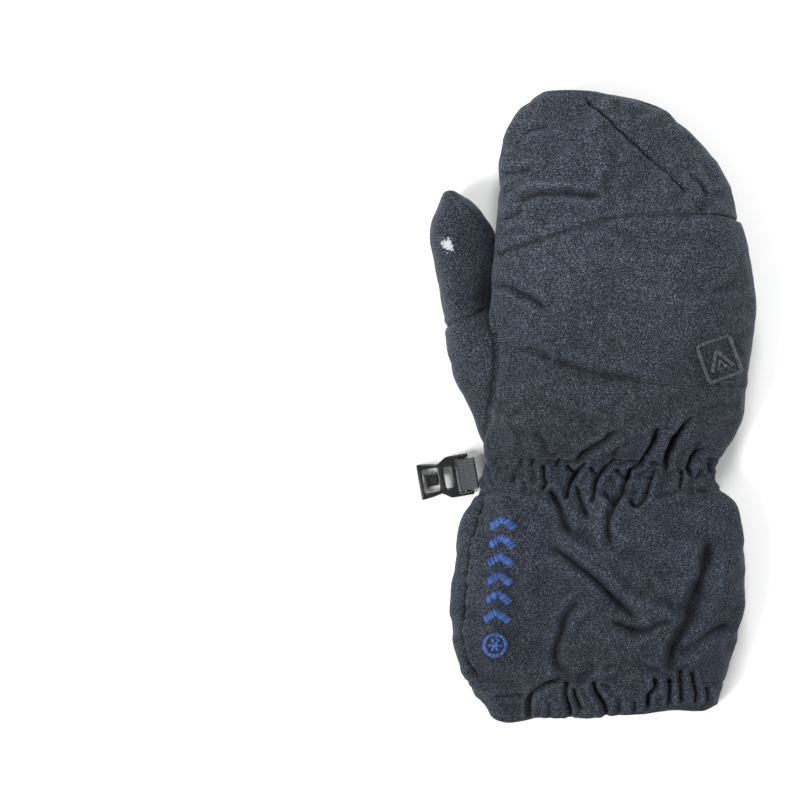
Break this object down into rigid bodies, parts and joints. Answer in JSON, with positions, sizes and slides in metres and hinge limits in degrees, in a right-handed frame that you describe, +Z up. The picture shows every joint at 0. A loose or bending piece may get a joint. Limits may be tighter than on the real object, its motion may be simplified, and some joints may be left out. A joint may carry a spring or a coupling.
{
  "type": "ski mitten",
  "caption": "Padded ski mitten for the right hand with a separate thumb, an elastic wrist, a loose gauntlet cuff with an elastic hem, and a keeper clip on webbing.",
  "frame": {"origin": "middle of the underside of the mitten as it lies palm down on a table", "axes": "+X from the thumb side to the little-finger side, +Y from the cuff to the fingertips, +Z up out of the back of the hand"},
  "size_m": [0.1276, 0.2372, 0.038],
  "materials": {
    "shell_fabric": "matte heathered woven fabric",
    "grip_fabric": "matte coated fabric",
    "wadding": "matte fibre",
    "lining": "brushed fleece",
    "elastic": "knitted elastic",
    "embroidery": "satin thread",
    "badge": "satin",
    "webbing": "woven tape",
    "clip_plastic": "gloss"
  },
  "bodies": {
    "hand": {"back_knuckle_panel": "shell_fabric", "back_lower_panel": "shell_fabric", "palm_panel": "shell_fabric", "thumb_gusset": "shell_fabric", "palm_grip_patch": "grip_fabric", "back_wadding": "wadding", "palm_wadding": "wadding", "hand_liner": "lining", "side_badge": "badge", "wrist_shirring": "shell_fabric", "wrist_elastic_tapes": "elastic", "wrist_liner": "lining", "webbing_loop": "webbing"},
    "fingers": {"back_tip_panel": "shell_fabric", "back_outer_tip_panel": "shell_fabric", "palm_finger_panel": "shell_fabric", "finger_back_wadding": "wadding", "finger_palm_wadding": "wadding", "finger_liner": "lining"},
    "thumb": {"thumb_back_panel": "shell_fabric", "thumb_palm_panel": "grip_fabric", "thumb_wadding": "wadding", "thumb_liner": "lining"},
    "cuff": {"cuff_back_panel": "shell_fabric", "cuff_side_strip": "shell_fabric", "cuff_palm_panel": "shell_fabric", "cuff_liner": "lining", "hem_casing": "shell_fabric", "hem_elastic": "elastic", "cuff_embroidery": "embroidery"},
    "clip": {"clip_frame": "clip_plastic"},
    "tongue": {"clip_tongue": "clip_plastic"}
  },
  "joints": [
    {"name": "finger_curl", "type": "hinge", "parent": "hand", "child": "fingers", "pos_m": [0, 0.062, 0], "axis": [-1, 0, 0], "range_deg": [0, 40]},
    {"name": "thumb_swing", "type": "hinge", "parent": "hand", "child": "thumb", "pos_m": [-0.0546, 0.0351, 0.013], "axis": [0, 0, 1], "range_deg": [0, 30]},
    {"name": "wrist_flex", "type": "hinge", "parent": "hand", "child": "cuff", "pos_m": [0.005, -0.0235, 0.004], "axis": [1, 0, 0], "range_deg": [-25, 25], "deforming": ["wrist_shirring", "wrist_elastic_tapes", "wrist_liner"]},
    {"name": "clip_swivel", "type": "hinge", "parent": "hand", "child": "clip", "pos_m": [-0.046, -0.0264, 0.0023], "axis": [-0.1736, 0.9848, 0], "range_deg": [-60, 80]},
    {"name": "tongue_flex", "type": "hinge", "parent": "clip", "child": "tongue", "pos_m": [-0.05584, -0.02814, 0.00199], "axis": [0.1736, -0.9848, 0], "range_deg": [0, 12], "stiffness_Nm_per_rad": 0.02}
  ]
}
